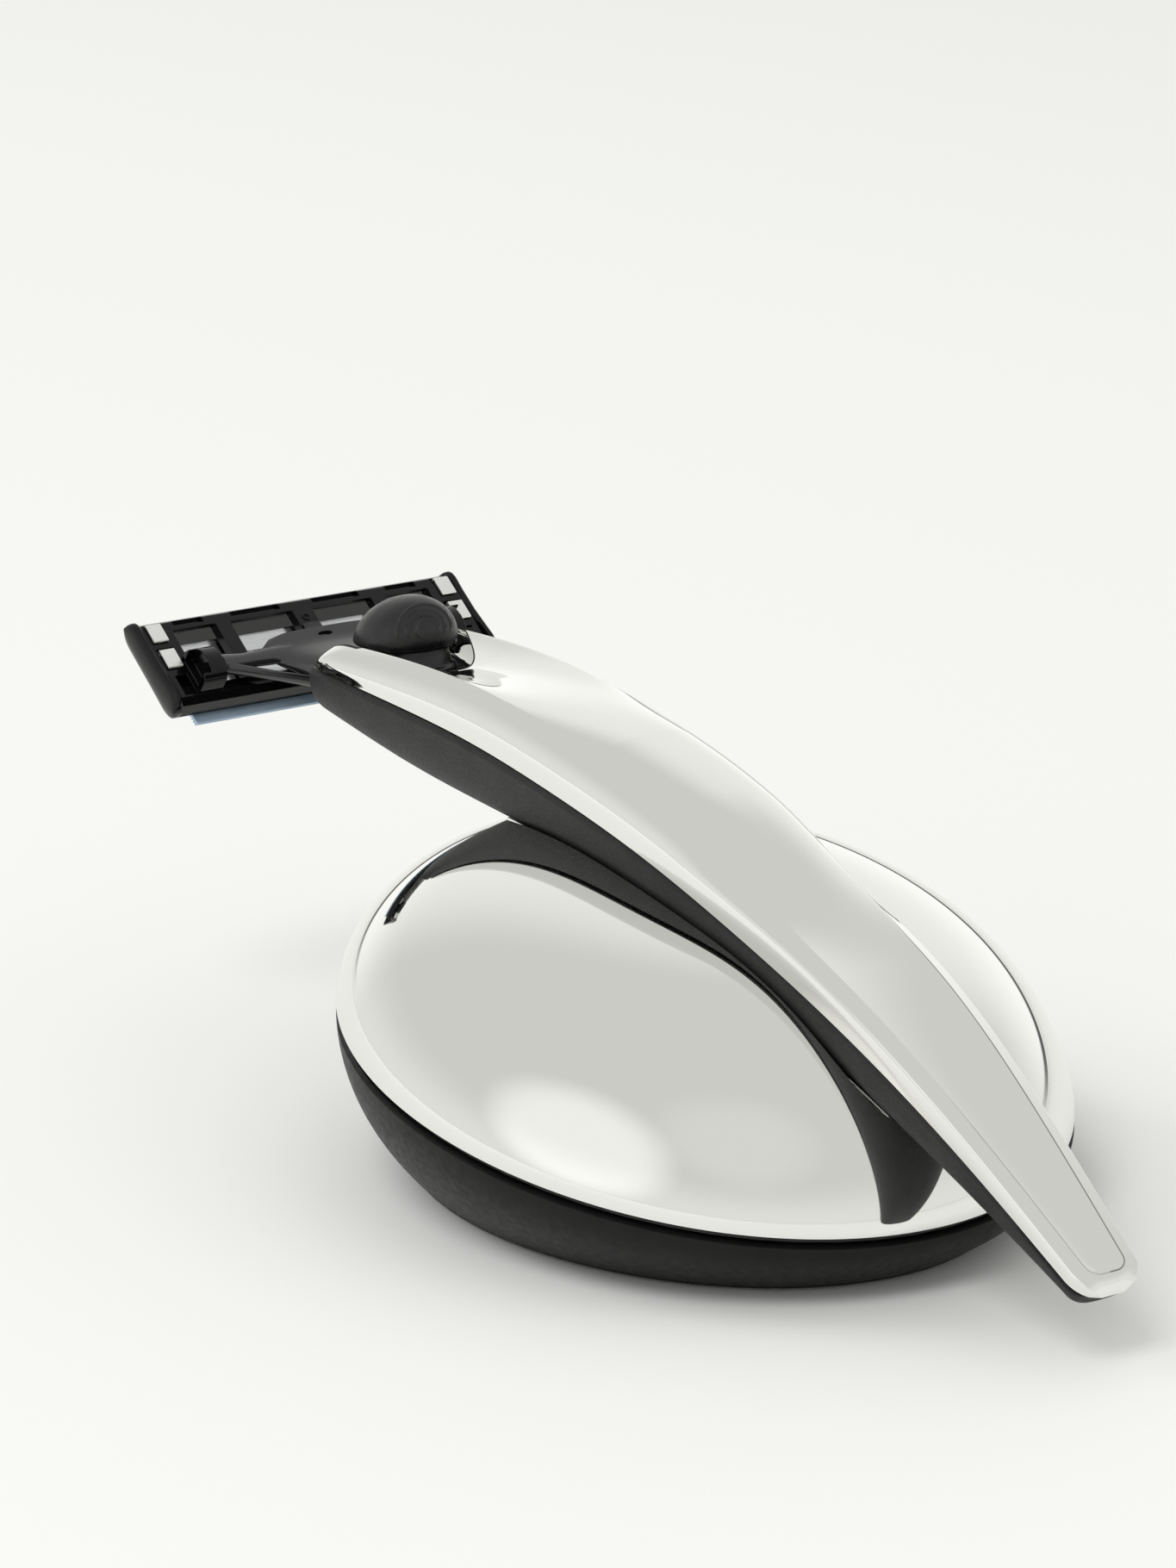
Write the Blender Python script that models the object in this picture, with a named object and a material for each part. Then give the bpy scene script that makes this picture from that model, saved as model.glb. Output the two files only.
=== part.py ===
"""Razor stand: a weighted pebble with a cradle groove, and the cartridge razor that rests in it.

Origin: centre of the foot on the ground. +Y points to the razor's head, -Y to its tail,
+X to the right seen from the tail, +Z up. Sizes below are millimetres; meshes are written in metres.
"""
import bpy
import bmesh
import numpy as np
from math import cos, sin, pi, radians
from mathutils import Vector

MM = 0.001

# ---- stand: a pebble whose split line slopes up towards the head -------------------------
RIM_X, RIM_Y = 34.9, 38.75            # half width and half length at the split line
RIM_Z, RIM_SLOPE = 13.4, 0.177        # split line height at the centre, and its rise along +Y
DOME_H, DOME_N, DOME_M = 17.7, 3.1, 1.63
DOME_SHIFT = -3.6                     # crown moved towards the tail
CAP_WALL, CAVITY_H = 2.2, 9.0
BASE_IN_X, BASE_IN_Y, BASE_POW = 7.9, 5.0, 1.83
BASE_Z, FLOOR_T, BASE_WALL = 0.4, 4.2, 2.4
SEAM_CAP, SEAM_BASE = 0.4, -0.5       # edges of the seam, measured from the split line
GASKET_LO, GASKET_HI = -0.2, 0.1
PAD_R, PAD_H = (24.5, 31.2), 1.0
BALLAST_R, BALLAST_Z = (21.5, 26.0), (5.0, 8.2)
SCREW_XY = ((0.0, 22.0), (-12.0, -10.0), (12.0, -10.0))
BOSS_R, BOSS_Z, SCREW_R, SCREW_HEAD_R = 3.0, 8.6, 1.05, 2.3
HEAD_Z = (1.6, 2.7)
MAGNET_SIZE, MAGNET_Y, MAGNET_Z = (8.0, 13.0, 2.4), 2.0, 24.3
SEGMENTS = 56

# ---- razor handle: y, height of the parting line, half width, shell rise, grip drop -------
HANDLE = (
    (57.6, 41.2, 8.5, 3.6, 6.2),
    (44.0, 40.5, 8.4, 5.7, 7.9),
    (30.0, 39.5, 8.2, 6.9, 8.3),
    (15.0, 37.5, 8.2, 7.1, 7.4),
    (0.0, 34.5, 8.0, 6.9, 6.8),
    (-15.0, 30.0, 7.4, 6.2, 6.6),
    (-30.0, 24.6, 6.8, 5.2, 6.0),
    (-44.0, 17.6, 5.5, 3.9, 4.6),
    (-60.4, 7.6, 3.75, 2.5, 1.7),
)
SECTION_POW = 0.8                     # below 1 squares the handle's rounded section
PARTING_GAP = 0.16
GROOVE_GAP = 0.45
STATIONS = 22
NOSE_Y, TAIL_Y = 57.6, -60.4
SCOOP, SCOOP_SIDE, SCOOP_POW, SCOOP_Y = 3.5, 0.77, 2.6, (20.0, 40.0)
CORE_Y, CORE_HALF, CORE_TOP, CORE_BOTTOM, CORE_GAP = (38.0, -46.0), 2.6, -0.5, -2.6, 0.3
HANDLE_SCREW_Y = (27.0, -14.0)

# ---- release button and its recess ---------------------------------------------------------
BUTTON_FOOT_Z, BUTTON_TRAVEL = 41.1, 3.0
# height above the foot, half width, centre y
BUTTON_PROFILE = ((0.0, 5.0, 51.0), (0.75, 5.2, 51.0), (1.0, 4.6, 51.3), (2.3, 4.5, 51.9),
                  (2.8, 5.15, 52.3), (3.1, 5.3, 52.4), (4.4, 4.95, 52.2), (5.8, 3.9, 51.8),
                  (7.1, 2.4, 51.4), (8.0, 0.8, 51.1))
RECESS_HALF, RECESS_BACK_Y, RECESS_CURVE = 6.5, 42.4, 0.2
STEM_HALF, STEM_Y, STEM_Z = 1.0, 47.0, 36.6
SPRING_R, SPRING_WIRE, SPRING_TURNS, SPRING_Y = 1.0, 0.2, 5, (48.5, 50.9)

# ---- connector: y, height, half width, half thickness along the neck ------------------------
NECK = ((51.4, 38.2, 2.8, 1.6), (59.6, 38.5, 2.9, 1.6), (61.3, 38.7, 3.6, 1.8),
        (63.3, 39.0, 4.8, 1.7), (65.0, 39.5, 6.4, 1.35), (66.6, 40.4, 8.2, 0.85),
        (67.35, 41.1, 8.4, 0.6), (67.95, 41.8, 7.2, 0.42), (68.2, 42.1, 5.6, 0.28))
ARM = ((5.0, 3.1, 1.3, 1.1, 0.6), (8.0, 3.1, 1.3, 1.1, 0.65),
       (11.5, 3.0, 1.35, 1.2, 0.7), (13.9, 3.1, 1.35, 1.2, 0.9))
TONGUE = ((1.8, 0.3), (4.5, 0.35), (7.0, 0.1), (7.4, 0.3), (4.6, 0.65), (1.8, 0.65))
CHANNEL = ((-1.5, 1.5), (1.2, 6.5), (-1.0, 0.95))
TONGUE_HALF = 1.1
POCKET_Y, POCKET_HALF, POCKET_Z = 44.5, 3.4, (36.1, 40.2)

# ---- cartridge, in its own plane: x along the blades, v guard to cap, w out of the back ------
CART_ORIGIN, CART_TILT = (64.9, 37.6), 36.9
CART_HALF, CART_V, CART_W = 19.8, 11.3, 3.0
PIVOT_V, PIVOT_W, PIVOT_R, PIVOT_GAP = 3.1, 1.35, 0.75, 0.1
RIB_X, RIB_HALF = (-10.0, 0.0, 9.8), (0.9, 1.25, 0.9)
WINDOW_V, WINDOW_X, WEB_T = (1.9, 9.4), 16.3, 1.2
BLADE_V, BLADE_W, BLADE_LEN, BLADE_WIDE, BLADE_T, BLADE_LEAN = (2.8, 4.8, 6.8), -2.1, 17.1, 2.0, 0.3, 24.0
BLOCK_X, BLOCK_V, BLOCK_W = (14.3, 17.2), (0.9, 5.6), 2.7
RAIL_X, RAIL_R = 20.1, 0.65
RAIL = ((-0.3, -1.2, 0.6), (0.2, -1.2, 1.35), (1.4, -1.2, 1.87), (5.55, -1.2, 1.86),
        (10.2, -1.25, 1.75), (11.35, -1.25, 1.33), (11.7, -1.25, 0.6))
CLIP_X = (17.5, 19.3)

MATERIALS = {
    "chrome": ((0.80, 0.80, 0.79), 0.06, 1.0),
    "soft_black": ((0.018, 0.018, 0.018), 0.55, 0.0),
    "grip_rubber": ((0.030, 0.030, 0.030), 0.62, 0.0),
    "gloss_black": ((0.008, 0.008, 0.009), 0.16, 0.0),
    "dark_plastic": ((0.020, 0.020, 0.021), 0.30, 0.0),
    "button_black": ((0.016, 0.016, 0.017), 0.38, 0.0),
    "steel": ((0.60, 0.60, 0.61), 0.22, 1.0),
    "clip_metal": ((0.72, 0.72, 0.72), 0.28, 1.0),
    "cast_weight": ((0.30, 0.30, 0.31), 0.45, 1.0),
    "magnet": ((0.35, 0.35, 0.36), 0.30, 1.0),
    "pale_blue": ((0.31, 0.45, 0.58), 0.40, 0.0),
    "pale_strip": ((0.62, 0.66, 0.60), 0.50, 0.0),
    "foot_rubber": ((0.022, 0.022, 0.022), 0.75, 0.0),
}


def clear_scene():
    for item in list(bpy.data.objects):
        bpy.data.objects.remove(item, do_unlink=True)


def material(name):
    found = bpy.data.materials.get(name)
    if found:
        return found
    colour, rough, metal = MATERIALS[name]
    made = bpy.data.materials.new(name)
    made.use_nodes = True
    shader = made.node_tree.nodes["Principled BSDF"]
    shader.inputs["Base Color"].default_value = (*colour, 1.0)
    shader.inputs["Roughness"].default_value = rough
    shader.inputs["Metallic"].default_value = metal
    made.diffuse_color = (*colour, 1.0)
    return made


def object_from(bm, name, slot=None, smooth=True):
    bmesh.ops.remove_doubles(bm, verts=bm.verts, dist=1e-7)
    bmesh.ops.recalc_face_normals(bm, faces=bm.faces)
    mesh = bpy.data.meshes.new(name)
    bm.to_mesh(mesh)
    bm.free()
    made = bpy.data.objects.new(name, mesh)
    bpy.context.scene.collection.objects.link(made)
    if slot:
        mesh.materials.append(material(slot))
    if smooth:
        mesh.shade_smooth()
        mesh.set_sharp_from_angle(angle=radians(35))
    return made


def loft(rings, closed=False):
    """Skin equal-length rings of points; the ends are capped unless the rings run in a circle."""
    bm = bmesh.new()
    rows = [[bm.verts.new(Vector(p) * MM) for p in ring] for ring in rings]
    count = len(rows[0])
    spans = list(zip(rows, rows[1:])) + ([(rows[-1], rows[0])] if closed else [])
    for low, high in spans:
        for i in range(count):
            j = (i + 1) % count
            bm.faces.new((low[i], low[j], high[j], high[i]))
    if not closed:
        bm.faces.new(reversed(rows[0]))
        bm.faces.new(rows[-1])
    return bm


def prism(outline, place, low, high):
    """Push a flat outline along the third axis of place(a, b, c)."""
    return loft([[place(a, b, c) for a, b in outline] for c in (low, high)])


def box(x, y, z):
    outline = ((x[0], y[0]), (x[1], y[0]), (x[1], y[1]), (x[0], y[1]))
    return prism(outline, lambda a, b, c: (a, b, c), z[0], z[1])


def circle(radius, count, centre=(0.0, 0.0)):
    turn = [2 * pi * i / count for i in range(count)]
    return [(centre[0] + radius * cos(t), centre[1] + radius * sin(t)) for t in turn]


def rod(radius, centre, z, count=24):
    return prism(circle(radius, count, centre), lambda a, b, c: (a, b, c), z[0], z[1])


def cut(target, *tools, operation="DIFFERENCE"):
    """Apply exact Booleans, each tool being a bmesh that is used up."""
    for tool in tools:
        cutter = object_from(tool, "cutter", smooth=False)
        step = target.modifiers.new("step", "BOOLEAN")
        step.operation, step.solver, step.object = operation, "EXACT", cutter
        depsgraph = bpy.context.evaluated_depsgraph_get()
        result = bpy.data.meshes.new_from_object(target.evaluated_get(depsgraph))
        target.modifiers.remove(step)
        old, target.data = target.data, result
        result.name = target.name
        bpy.data.meshes.remove(old)
        bpy.data.objects.remove(cutter, do_unlink=True)
    bm = bmesh.new()
    bm.from_mesh(target.data)
    bmesh.ops.remove_doubles(bm, verts=bm.verts, dist=2e-6)
    bmesh.ops.dissolve_degenerate(bm, edges=bm.edges, dist=2e-6)
    bm.to_mesh(target.data)
    bm.free()
    target.data.shade_smooth()
    target.data.set_sharp_from_angle(angle=radians(35))
    return target


def join(target, *tools):
    return cut(target, *tools, operation="UNION")


# ---- stand ---------------------------------------------------------------------------------

def rim_height(y):
    return RIM_Z + RIM_SLOPE * y


def dome_ring(share, inset, height, lift):
    """One level of the dome: share 1 is the split line, 0 the crown."""
    points = []
    for i in range(SEGMENTS):
        t = 2 * pi * i / SEGMENTS
        x = (RIM_X - inset) * share * cos(t)
        y = (RIM_Y - inset) * share * sin(t) + DOME_SHIFT * (1 - share ** 2)
        z = rim_height(y) + lift + height * max(0.0, 1 - share ** DOME_N) ** (1 / DOME_M)
        points.append((x, y, z))
    return points


def ellipse_ring(half_x, half_y, z):
    turns = [2 * pi * i / SEGMENTS for i in range(SEGMENTS)]
    return [(half_x * cos(t), half_y * sin(t), z) for t in turns]


def rim_ring(inset, lift):
    return [(x, y, rim_height(y) + lift)
            for x, y, _ in ellipse_ring(RIM_X - inset, RIM_Y - inset, 0.0)]


def base_ring(drop, inset):
    """One level of the base's flank: drop 0 is the split line, 1 the ground edge."""
    points = []
    pull = drop ** BASE_POW
    for i in range(SEGMENTS):
        t = 2 * pi * i / SEGMENTS
        top = rim_height((RIM_Y - inset) * sin(t)) + SEAM_BASE
        x = (RIM_X - inset - BASE_IN_X * pull) * cos(t)
        y = (RIM_Y - inset - BASE_IN_Y * pull) * sin(t)
        points.append((x, y, top + (BASE_Z - top) * drop))
    return points


def cavity_height(x, y):
    share = min(1.0, ((x / (RIM_X - CAP_WALL)) ** 2 + ((y - DOME_SHIFT) / (RIM_Y - CAP_WALL)) ** 2) ** 0.5)
    return rim_height(y) + CAVITY_H * (1 - share ** DOME_N) ** (1 / DOME_M)


def build_cap():
    outer = [dome_ring(s, 0.0, DOME_H, SEAM_CAP) for s in
             (0.1, 0.28, 0.45, 0.6, 0.73, 0.83, 0.9, 0.945, 0.975, 0.992, 1.0)]
    inner = [dome_ring(s, CAP_WALL, CAVITY_H, SEAM_CAP) for s in
             (1.0, 0.99, 0.95, 0.86, 0.7, 0.45, 0.12)]
    cap = object_from(loft(outer + inner), "stand_cap", "chrome")
    for x, y in SCREW_XY:
        join(cap, rod(BOSS_R, (x, y), (BOSS_Z, cavity_height(x, y) + 1.4)))
    cut(cap, groove_cutter())
    for x, y in SCREW_XY:
        cut(cap, rod(SCREW_R + 0.2, (x, y), (BOSS_Z - 1, BOSS_Z + 10)))
    half_x, half_y = MAGNET_SIZE[0] / 2 + 0.3, MAGNET_SIZE[1] / 2 + 0.3
    return cut(cap, box((-half_x, half_x), (MAGNET_Y - half_y, MAGNET_Y + half_y),
                        (MAGNET_Z - 6, MAGNET_Z + 0.3)))


def build_base():
    outer = [base_ring(d, 0.0) for d in (1.0, 0.92, 0.82, 0.7, 0.55, 0.4, 0.25, 0.1, 0.0)]
    floor_z = BASE_Z + FLOOR_T
    inner = [base_ring(0.0, BASE_WALL), base_ring(0.2, BASE_WALL), ellipse_ring(24.2, 30.8, floor_z)]
    base = object_from(loft(outer + inner), "stand_base", "soft_black")
    for x, y in SCREW_XY:
        cut(base, rod(SCREW_R + 0.3, (x, y), (BASE_Z - 1, floor_z + 1)),
            rod(SCREW_HEAD_R + 0.3, (x, y), (BASE_Z - 1, HEAD_Z[1] + 0.3)))
    return cut(base, loft([ellipse_ring(PAD_R[0] + 0.3, PAD_R[1] + 0.3, z)
                           for z in (BASE_Z - 1, PAD_H + 0.3)]))


def build_stand():
    build_cap()
    build_base()
    object_from(loft([rim_ring(0.55, GASKET_LO), rim_ring(0.55, GASKET_HI),
                      rim_ring(1.8, GASKET_HI), rim_ring(1.8, GASKET_LO)], closed=True),
                "rim_gasket", "grip_rubber")
    object_from(loft([ellipse_ring(*PAD_R, z) for z in (0.0, PAD_H)]), "foot_pad", "foot_rubber")
    ballast = object_from(loft([ellipse_ring(*BALLAST_R, z) for z in BALLAST_Z]),
                          "ballast_weight", "cast_weight")
    for x, y in SCREW_XY:
        cut(ballast, rod(SCREW_R + 0.4, (x, y), (BALLAST_Z[0] - 1, BALLAST_Z[1] + 1)))
    half_x, half_y, deep = (s / 2 for s in MAGNET_SIZE)
    object_from(box((-half_x, half_x), (MAGNET_Y - half_y, MAGNET_Y + half_y),
                    (MAGNET_Z - 2 * deep, MAGNET_Z)), "holding_magnet", "magnet")
    tip_z = BOSS_Z + 7
    for index, (x, y) in enumerate(SCREW_XY, 1):
        rings = [[(a, b, z) for a, b in circle(r, 20, (x, y))] for r, z in
                 ((SCREW_HEAD_R, HEAD_Z[0]), (SCREW_HEAD_R, HEAD_Z[1]), (SCREW_R, HEAD_Z[1]),
                  (SCREW_R, tip_z - 1), (SCREW_R * 0.4, tip_z))]
        object_from(loft(rings), f"base_screw_{index}", "steel")


# ---- handle --------------------------------------------------------------------------------

def spline(column):
    """Natural cubic through the handle's stations, as a function of y."""
    table = np.array(HANDLE)[::-1]
    x, f = table[:, 0], table[:, column]
    n, h = len(x), np.diff(table[:, 0])
    system, right = np.eye(n), np.zeros(n)
    for i in range(1, n - 1):
        system[i, i - 1:i + 2] = h[i - 1], 2 * (h[i - 1] + h[i]), h[i]
        right[i] = 3 * ((f[i + 1] - f[i]) / h[i] - (f[i] - f[i - 1]) / h[i - 1])
    c = np.linalg.solve(system, right)

    def value(y):
        i = int(np.clip(np.searchsorted(x, y) - 1, 0, n - 2))
        t = y - x[i]
        b = (f[i + 1] - f[i]) / h[i] - h[i] * (2 * c[i] + c[i + 1]) / 3
        return float(f[i] + b * t + c[i] * t ** 2 + (c[i + 1] - c[i]) / (3 * h[i]) * t ** 3)
    return value


parting, half_width, shell_rise, grip_drop = (spline(k) for k in (1, 2, 3, 4))


def frame_at(y):
    """Point on the parting line with its tangent and upward normal, in the y-z plane."""
    slope = (parting(y + 0.05) - parting(y - 0.05)) / 0.1
    length = (1 + slope ** 2) ** 0.5
    return parting(y), (1 / length, slope / length), (-slope / length, 1 / length)


def placed(y, points, along=0.0):
    z, tangent, normal = frame_at(y)
    return [(x, y + along * tangent[0] + n * normal[0], z + along * tangent[1] + n * normal[1])
            for x, n in points]


def arch(half, rise, base, count=12):
    """Rounded-square arch from +half to -half; a negative rise hangs below the base."""
    points = []
    for i in range(count + 1):
        t = pi * i / count
        points.append((half * abs(cos(t)) ** SECTION_POW * (1 if cos(t) >= 0 else -1),
                       base + rise * sin(t) ** SECTION_POW))
    return points


def along_handle(start, end, count):
    return [start + (end - start) * i / (count - 1) for i in range(count)]


def rounded_ends(rings, shrink, reach):
    """Add small rings before and after so that both ends of a loft are rounded."""
    out = []
    for y, section, side in rings:
        for factor, step in shrink if side > 0 else ():
            out.append(placed(y, section(factor), step * reach))
        out.append(placed(y, section(1.0)))
        for factor, step in shrink[::-1] if side < 0 else ():
            out.append(placed(y, section(factor), -step * reach))
    return out


def handle_rings(section_at, start, end, count, reach):
    shrink = ((0.72, 1.0), (0.90, 0.7), (0.98, 0.3))
    stations = along_handle(start, end, count)
    marks = [1] + [0] * (count - 2) + [-1]
    return rounded_ends([(y, section_at(y), m) for y, m in zip(stations, marks)], shrink, reach)


def scoop(x, y):
    """Depth of the thumb's hollow behind the button."""
    run = min(1.0, max(0.0, (y - SCOOP_Y[0]) / (SCOOP_Y[1] - SCOOP_Y[0])))
    across = abs(x) / (SCOOP_SIDE * half_width(y))
    return SCOOP * run * run * (3 - 2 * run) * max(0.0, 1 - across ** SCOOP_POW)


def shell_section(y):
    return lambda k: [(x, n - k * scoop(x, y)) if n > 1 else (x, n)
                      for x, n in arch(half_width(y) * k, shell_rise(y) * k, PARTING_GAP, 16)]


def grip_section(y):
    return lambda k: arch(half_width(y) * k, -grip_drop(y) * k, -PARTING_GAP)


def groove_cutter():
    rings = []
    for y in along_handle(46.0, -56.0, 30):
        half = half_width(y) + GROOVE_GAP
        section = arch(half, -grip_drop(y) - GROOVE_GAP, 0.0) + [(-half, 14.0), (half, 14.0)]
        rings.append(placed(y, section))
    return loft(rings)


def core_loft(gap):
    rings = []
    for y in along_handle(CORE_Y[0] + gap, CORE_Y[1] - gap, 14):
        half = min(CORE_HALF, half_width(y) - 2.4) + gap
        top, bottom = CORE_TOP + gap, max(CORE_BOTTOM, -grip_drop(y) + 1.6) - gap
        rings.append(placed(y, ((half, top), (-half, top), (-half, bottom), (half, bottom))))
    return loft(rings)


def build_handle():
    shell = object_from(loft(handle_rings(shell_section, NOSE_Y - 1.2, TAIL_Y + 1.0, STATIONS, 1.0)),
                        "handle_shell", "chrome")
    notch = [(x, RECESS_BACK_Y + RECESS_CURVE * x * x)
             for x in np.linspace(-RECESS_HALF, RECESS_HALF, 15)]
    notch += [(RECESS_HALF, 70.0), (-RECESS_HALF, 70.0)]
    cut(shell, prism(notch, lambda a, b, c: (a, b, c), 36.0, 60.0))
    grip = object_from(loft(handle_rings(grip_section, NOSE_Y, TAIL_Y + 1.2, STATIONS, 1.4)),
                       "handle_grip", "grip_rubber")
    cut(grip, core_loft(CORE_GAP))
    cut(grip, box((-POCKET_HALF, POCKET_HALF), (POCKET_Y, 70.0), POCKET_Z),
        box((-STEM_HALF - 0.4, STEM_HALF + 0.4),
            (STEM_Y - STEM_HALF - 0.4, STEM_Y + STEM_HALF + BUTTON_TRAVEL + 0.4), (38.0, 46.0)))
    core = object_from(core_loft(0.0), "handle_core", "cast_weight")
    for index, y in enumerate(HANDLE_SCREW_Y, 1):
        z = parting(y)
        hole = (z - 6.0, z + 3.6)
        cut(core, rod(1.3, (0, y), hole, 16))
        cut(shell, rod(1.3, (0, y), (z - 2.0, z + 3.6), 16))
        cut(grip, rod(1.9, (0, y), (z - 4.6, z + 3.6), 16))
        rings = [[(a, b, h) for a, b in circle(r, 16, (0, y))] for r, h in
                 ((1.6, z - 4.3), (1.6, z - 3.4), (1.0, z - 3.4), (1.0, z + 3.2))]
        object_from(loft(rings), f"handle_screw_{index}", "steel")


def build_button():
    rings = [[(r * squared(a, 0.85), y + 0.95 * r * squared(b, 0.85), BUTTON_FOOT_Z + h)
              for a, b in circle(1.0, 36)] for h, r, y in BUTTON_PROFILE]
    button = object_from(loft(rings), "release_button", "button_black")
    join(button, box((-STEM_HALF, STEM_HALF), (STEM_Y - STEM_HALF, STEM_Y + STEM_HALF),
                     (STEM_Z, BUTTON_FOOT_Z + 0.6)))


def coil(radius, wire, turns, start, length, steps=14, sides=6):
    """Round-wire spring along +Y with flat-cut ends."""
    rings = []
    total = steps * turns
    for i in range(total + 1):
        t = 2 * pi * i / steps
        y = start[1] + length * i / total
        out = Vector((cos(t), 0, sin(t)))
        centre = Vector((start[0], y, start[2])) + out * radius
        side = Vector((0, 1, 0))
        rings.append([tuple(centre + out * wire * cos(a) + side * wire * sin(a))
                      for a in [2 * pi * k / sides for k in range(sides)]])
    return loft(rings)


# ---- head ----------------------------------------------------------------------------------

def cart(x, v, w):
    """Cartridge coordinates to world millimetres."""
    a = radians(CART_TILT)
    return (x, CART_ORIGIN[0] + v * cos(a) - w * sin(a), CART_ORIGIN[1] + v * sin(a) + w * cos(a))


def cart_box(x, v, w):
    outline = ((x[0], v[0]), (x[1], v[0]), (x[1], v[1]), (x[0], v[1]))
    return prism(outline, cart, w[0], w[1])


def cart_bar(outline_vw, x):
    return prism(outline_vw, lambda v, w, c: cart(c, v, w), x[0], x[1])


def cart_tube(radius, v, w, x, count=20):
    return cart_bar(circle(radius, count, (v, w)), x)


def squared(value, power=0.6):
    return abs(value) ** power * (1 if value >= 0 else -1)


def build_connector():
    turns = [2 * pi * i / 20 for i in range(20)]
    neck = object_from(loft([[(half * squared(cos(t)), y, z + thick * squared(sin(t))) for t in turns]
                             for y, z, half, thick in NECK]), "connector_yoke", "dark_plastic")
    for side in (-1, 1):
        join(neck, loft([[cart(side * x, v + a * tall, w + b * thick) for a, b in circle(1.0, 12)]
                         for x, v, w, tall, thick in ARM]))
        inner, outer = sorted((side * 12.6, side * 15.6))
        join(neck, cart_tube(PIVOT_R, PIVOT_V, PIVOT_W, (inner, outer)))
    cut(neck, cart_box(*CHANNEL))
    object_from(cart_bar(TONGUE, (-TONGUE_HALF, TONGUE_HALF)), "return_tongue", "dark_plastic")


def build_housing():
    plate = ((0.5, -CART_W), (CART_V - 0.4, -CART_W), (CART_V, -CART_W + 0.8), (CART_V, -0.5),
             (CART_V - 0.5, 0.0), (0.6, 0.0), (0.0, -0.6), (0.0, -CART_W + 0.5))
    housing = object_from(cart_bar(plate, (-CART_HALF, CART_HALF)), "cartridge_housing", "gloss_black")
    cut(housing, cart_box((-18.3, 18.3), (1.6, 9.7), (-CART_W - 1, -WEB_T)))
    edges = [-WINDOW_X] + [s for x, h in zip(RIB_X, RIB_HALF) for s in (x - h, x + h)] + [WINDOW_X]
    for left, right in zip(edges[::2], edges[1::2]):
        cut(housing, cart_box((left, right), WINDOW_V, (-WEB_T - 1, 1)))
    for side in (-1, 1):
        join(housing, loft([[cart(side * RAIL_X + a * RAIL_R, v, w + b * r) for a, b in circle(1.0, 16)]
                            for v, w, r in RAIL]))
        near, far = sorted((side * BLOCK_X[0], side * BLOCK_X[1]))
        join(housing, cart_bar(((BLOCK_V[0], -0.8), (BLOCK_V[1], -0.8), (BLOCK_V[1], 1.2),
                                (BLOCK_V[1] - 1.6, BLOCK_W), (BLOCK_V[0] + 1.2, BLOCK_W),
                                (BLOCK_V[0], 1.5)), (near, far)))
        cut(housing, cart_tube(PIVOT_R + PIVOT_GAP, PIVOT_V, PIVOT_W,
                               tuple(sorted((side * 13.0, side * 16.0)))))
        slot = sorted((side * (CLIP_X[0] - 0.3), side * (CLIP_X[1] + 0.1)))
        cut(housing, cart_box(slot, (6.5, 7.4), (-CART_W - 1, 3)),
            cart_box(slot, (10.0, 10.83), (-CART_W - 1, 1)),
            cart_box(slot, (6.6, 10.75), (-CART_W - 1, -CART_W + 0.45)))
    return housing


def build_cartridge():
    build_housing()
    lean = radians(BLADE_LEAN)
    for index, v in enumerate(BLADE_V, 1):
        half, thick = BLADE_WIDE / 2, BLADE_T / 2
        corners = ((-half, -thick), (half - 0.5, -thick), (half, 0.0), (half - 0.3, thick), (-half, thick))
        outline = [(v - a * cos(lean) - b * sin(lean), BLADE_W - a * sin(lean) + b * cos(lean))
                   for a, b in corners]
        object_from(cart_bar(outline, (-BLADE_LEN, BLADE_LEN)), f"blade_{index}", "steel")
    front, back, skin = -CART_W + 0.05, 0.35, 0.3
    clip = ((6.8, front), (10.45, front), (10.6, front + 0.15), (10.6, back - 0.12),
            (10.45, back), (8.1, back), (8.1, back - skin), (10.3, back - skin),
            (10.3, front + skin), (7.1, front + skin), (7.1, back), (4.5, back), (4.5, back - skin),
            (6.8, back - skin))
    for name, side in (("clip_left", -1), ("clip_right", 1)):
        object_from(cart_bar(clip, tuple(sorted((side * CLIP_X[0], side * CLIP_X[1])))), name,
                    "clip_metal")
    object_from(cart_bar(((-1.2, -3.7), (1.4, -4.0), (1.4, -3.3), (-1.2, -3.0)), (-17.2, 17.2)),
                "guard_strip", "pale_blue")
    object_from(cart_bar(((9.9, -3.7), (11.1, -3.5), (11.1, -3.25), (9.9, -3.25)), (-16.8, 16.8)),
                "lubricating_strip", "pale_strip")


clear_scene()
build_stand()
build_handle()
build_button()
object_from(coil(SPRING_R, SPRING_WIRE, SPRING_TURNS, (0, SPRING_Y[0], 38.2), SPRING_Y[1] - SPRING_Y[0]),
            "button_spring", "steel")
build_connector()
build_cartridge()
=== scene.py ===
"""A polished pebble stand with the cartridge razor that rests in its groove.

Every length below is in millimetres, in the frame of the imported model: the origin is the centre of
the stand's foot, +Y points to the razor's head, +X to the right seen from its tail, +Z up.
"""
import bpy
import bmesh
import numpy as np
from math import cos, sin, pi, radians, hypot
from mathutils import Matrix, Vector


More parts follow.
